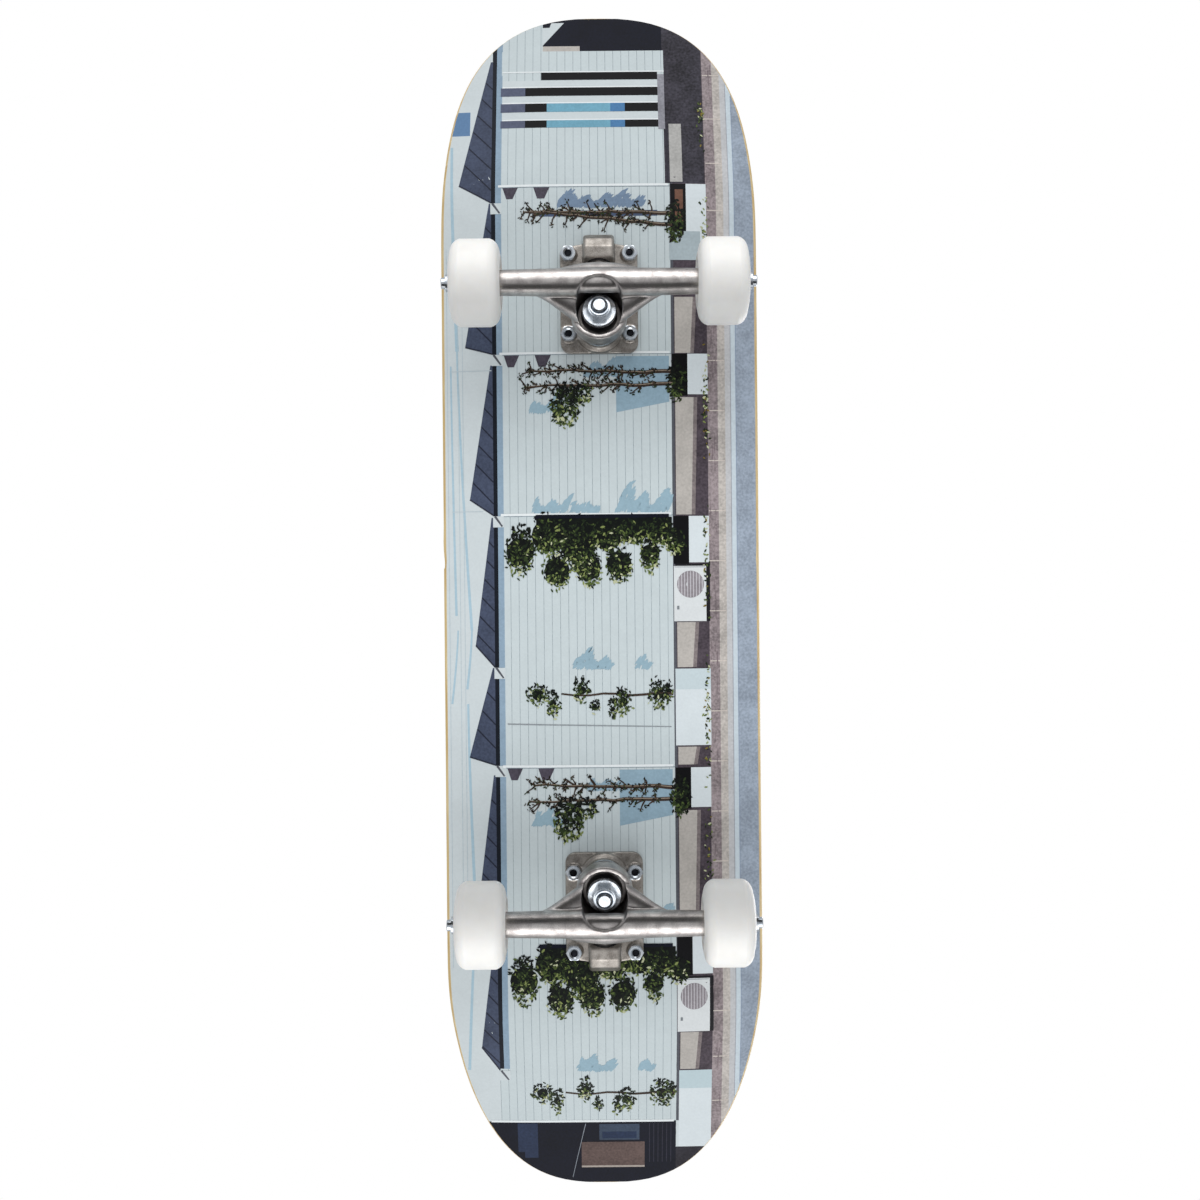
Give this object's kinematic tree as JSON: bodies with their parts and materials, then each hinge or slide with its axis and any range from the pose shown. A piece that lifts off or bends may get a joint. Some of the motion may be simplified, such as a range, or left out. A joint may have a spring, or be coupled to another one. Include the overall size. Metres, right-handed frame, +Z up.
{
  "type": "skateboard",
  "caption": "Street skateboard: pressed maple deck with grip tape and a printed underside, two steering trucks, and white urethane wheels on ball bearings.",
  "frame": {"origin": "on the ground line, under the middle of the board's length and width", "axes": "+Z up, +Y towards the nose, +X to a rider's right when facing the nose"},
  "size_m": [0.2161, 0.826, 0.1415],
  "materials": {
    "maple_face": "sealed maple veneer",
    "maple_core": "maple veneer, sanded edge",
    "maple_dyed": "maple veneer dyed yellow",
    "grip_tape": "black silicon-carbide grit on film",
    "nylon": "dark nylon",
    "black_oxide_steel": "black oxide",
    "zinc_steel": "bright zinc plate",
    "cast_aluminium": "tumbled raw casting",
    "cast_aluminium_dark": "as-cast, darker in the recesses",
    "pivot_urethane": "black urethane",
    "bushing_urethane": "black urethane",
    "bearing_steel": "ground bearing steel",
    "shield_black": "black bearing shield",
    "wheel_urethane": "white cast urethane"
  },
  "bodies": {
    "deck": {"bottom_face_ply": "maple_face", "dyed_core_ply": "maple_dyed", "lower_crossband_ply": "maple_core", "centre_core_ply": "maple_core", "upper_crossband_ply": "maple_core", "upper_core_ply": "maple_core", "top_face_ply": "maple_face", "grip_tape": "grip_tape", "front_mounting_bolts": "black_oxide_steel", "front_mounting_nuts": "zinc_steel", "front_nut_inserts": "nylon", "front_baseplate": "cast_aluminium_dark", "front_pivot_cup": "pivot_urethane", "front_kingpin": "zinc_steel", "front_kingpin_nut": "zinc_steel", "front_boardside_bushing": "bushing_urethane", "front_roadside_bushing": "bushing_urethane", "front_boardside_cup_washer": "zinc_steel", "front_roadside_cup_washer": "zinc_steel", "rear_mounting_bolts": "black_oxide_steel", "rear_mounting_nuts": "zinc_steel", "rear_nut_inserts": "nylon", "rear_baseplate": "cast_aluminium_dark", "rear_pivot_cup": "pivot_urethane", "rear_kingpin": "zinc_steel", "rear_kingpin_nut": "zinc_steel", "rear_boardside_bushing": "bushing_urethane", "rear_roadside_bushing": "bushing_urethane", "rear_boardside_cup_washer": "zinc_steel", "rear_roadside_cup_washer": "zinc_steel"},
    "front_hanger": {"front_hanger": "cast_aluminium", "front_axle": "zinc_steel", "front_axle_nuts": "zinc_steel", "front_axle_nut_inserts": "nylon", "front_speed_washers": "zinc_steel", "front_inner_races": "bearing_steel", "front_bearing_spacers": "bearing_steel"},
    "front_left_wheel": {"front_left_wheel": "wheel_urethane", "front_left_outer_races": "bearing_steel", "front_left_bearing_shields": "shield_black"},
    "front_left_balls": {"front_left_ball_sets": "bearing_steel"},
    "front_right_wheel": {"front_right_wheel": "wheel_urethane", "front_right_outer_races": "bearing_steel", "front_right_bearing_shields": "shield_black"},
    "front_right_balls": {"front_right_ball_sets": "bearing_steel"},
    "rear_hanger": {"rear_hanger": "cast_aluminium", "rear_axle": "zinc_steel", "rear_axle_nuts": "zinc_steel", "rear_axle_nut_inserts": "nylon", "rear_speed_washers": "zinc_steel", "rear_inner_races": "bearing_steel", "rear_bearing_spacers": "bearing_steel"},
    "rear_left_wheel": {"rear_left_wheel": "wheel_urethane", "rear_left_outer_races": "bearing_steel", "rear_left_bearing_shields": "shield_black"},
    "rear_left_balls": {"rear_left_ball_sets": "bearing_steel"},
    "rear_right_wheel": {"rear_right_wheel": "wheel_urethane", "rear_right_outer_races": "bearing_steel", "rear_right_bearing_shields": "shield_black"},
    "rear_right_balls": {"rear_right_ball_sets": "bearing_steel"}
  },
  "joints": [
    {"name": "front_steering", "type": "hinge", "parent": "deck", "child": "front_hanger", "pos_m": [0, 0.23101, 0.07], "axis": [0, -0.941, -0.3384], "range_deg": [-12, 12], "stiffness_Nm_per_rad": 60, "deforming": ["front_boardside_bushing", "front_roadside_bushing"]},
    {"name": "front_left_wheel_spin", "type": "hinge", "parent": "front_hanger", "child": "front_left_wheel", "pos_m": [-0.0795, 0.20451, 0.028], "axis": [1, 0, 0], "continuous": true},
    {"name": "front_left_ball_orbit", "type": "hinge", "parent": "front_hanger", "child": "front_left_balls", "pos_m": [-0.0795, 0.20451, 0.028], "axis": [1, 0, 0], "continuous": true},
    {"name": "front_right_wheel_spin", "type": "hinge", "parent": "front_hanger", "child": "front_right_wheel", "pos_m": [0.0795, 0.20451, 0.028], "axis": [1, 0, 0], "continuous": true},
    {"name": "front_right_ball_orbit", "type": "hinge", "parent": "front_hanger", "child": "front_right_balls", "pos_m": [0.0795, 0.20451, 0.028], "axis": [1, 0, 0], "continuous": true},
    {"name": "rear_steering", "type": "hinge", "parent": "deck", "child": "rear_hanger", "pos_m": [0, -0.23491, 0.07], "axis": [0, 0.941, -0.3384], "range_deg": [-12, 12], "stiffness_Nm_per_rad": 60, "deforming": ["rear_boardside_bushing", "rear_roadside_bushing"]},
    {"name": "rear_left_wheel_spin", "type": "hinge", "parent": "rear_hanger", "child": "rear_left_wheel", "pos_m": [-0.0795, -0.20841, 0.028], "axis": [1, 0, 0], "continuous": true},
    {"name": "rear_left_ball_orbit", "type": "hinge", "parent": "rear_hanger", "child": "rear_left_balls", "pos_m": [-0.0795, -0.20841, 0.028], "axis": [1, 0, 0], "continuous": true},
    {"name": "rear_right_wheel_spin", "type": "hinge", "parent": "rear_hanger", "child": "rear_right_wheel", "pos_m": [0.0795, -0.20841, 0.028], "axis": [1, 0, 0], "continuous": true},
    {"name": "rear_right_ball_orbit", "type": "hinge", "parent": "rear_hanger", "child": "rear_right_balls", "pos_m": [0.0795, -0.20841, 0.028], "axis": [1, 0, 0], "continuous": true}
  ],
  "couplings": [
    {"joint": "front_left_ball_orbit", "follows": "front_left_wheel_spin", "ratio": 0.6323},
    {"joint": "front_right_ball_orbit", "follows": "front_right_wheel_spin", "ratio": 0.6323},
    {"joint": "rear_left_ball_orbit", "follows": "rear_left_wheel_spin", "ratio": 0.6323},
    {"joint": "rear_right_ball_orbit", "follows": "rear_right_wheel_spin", "ratio": 0.6323}
  ]
}
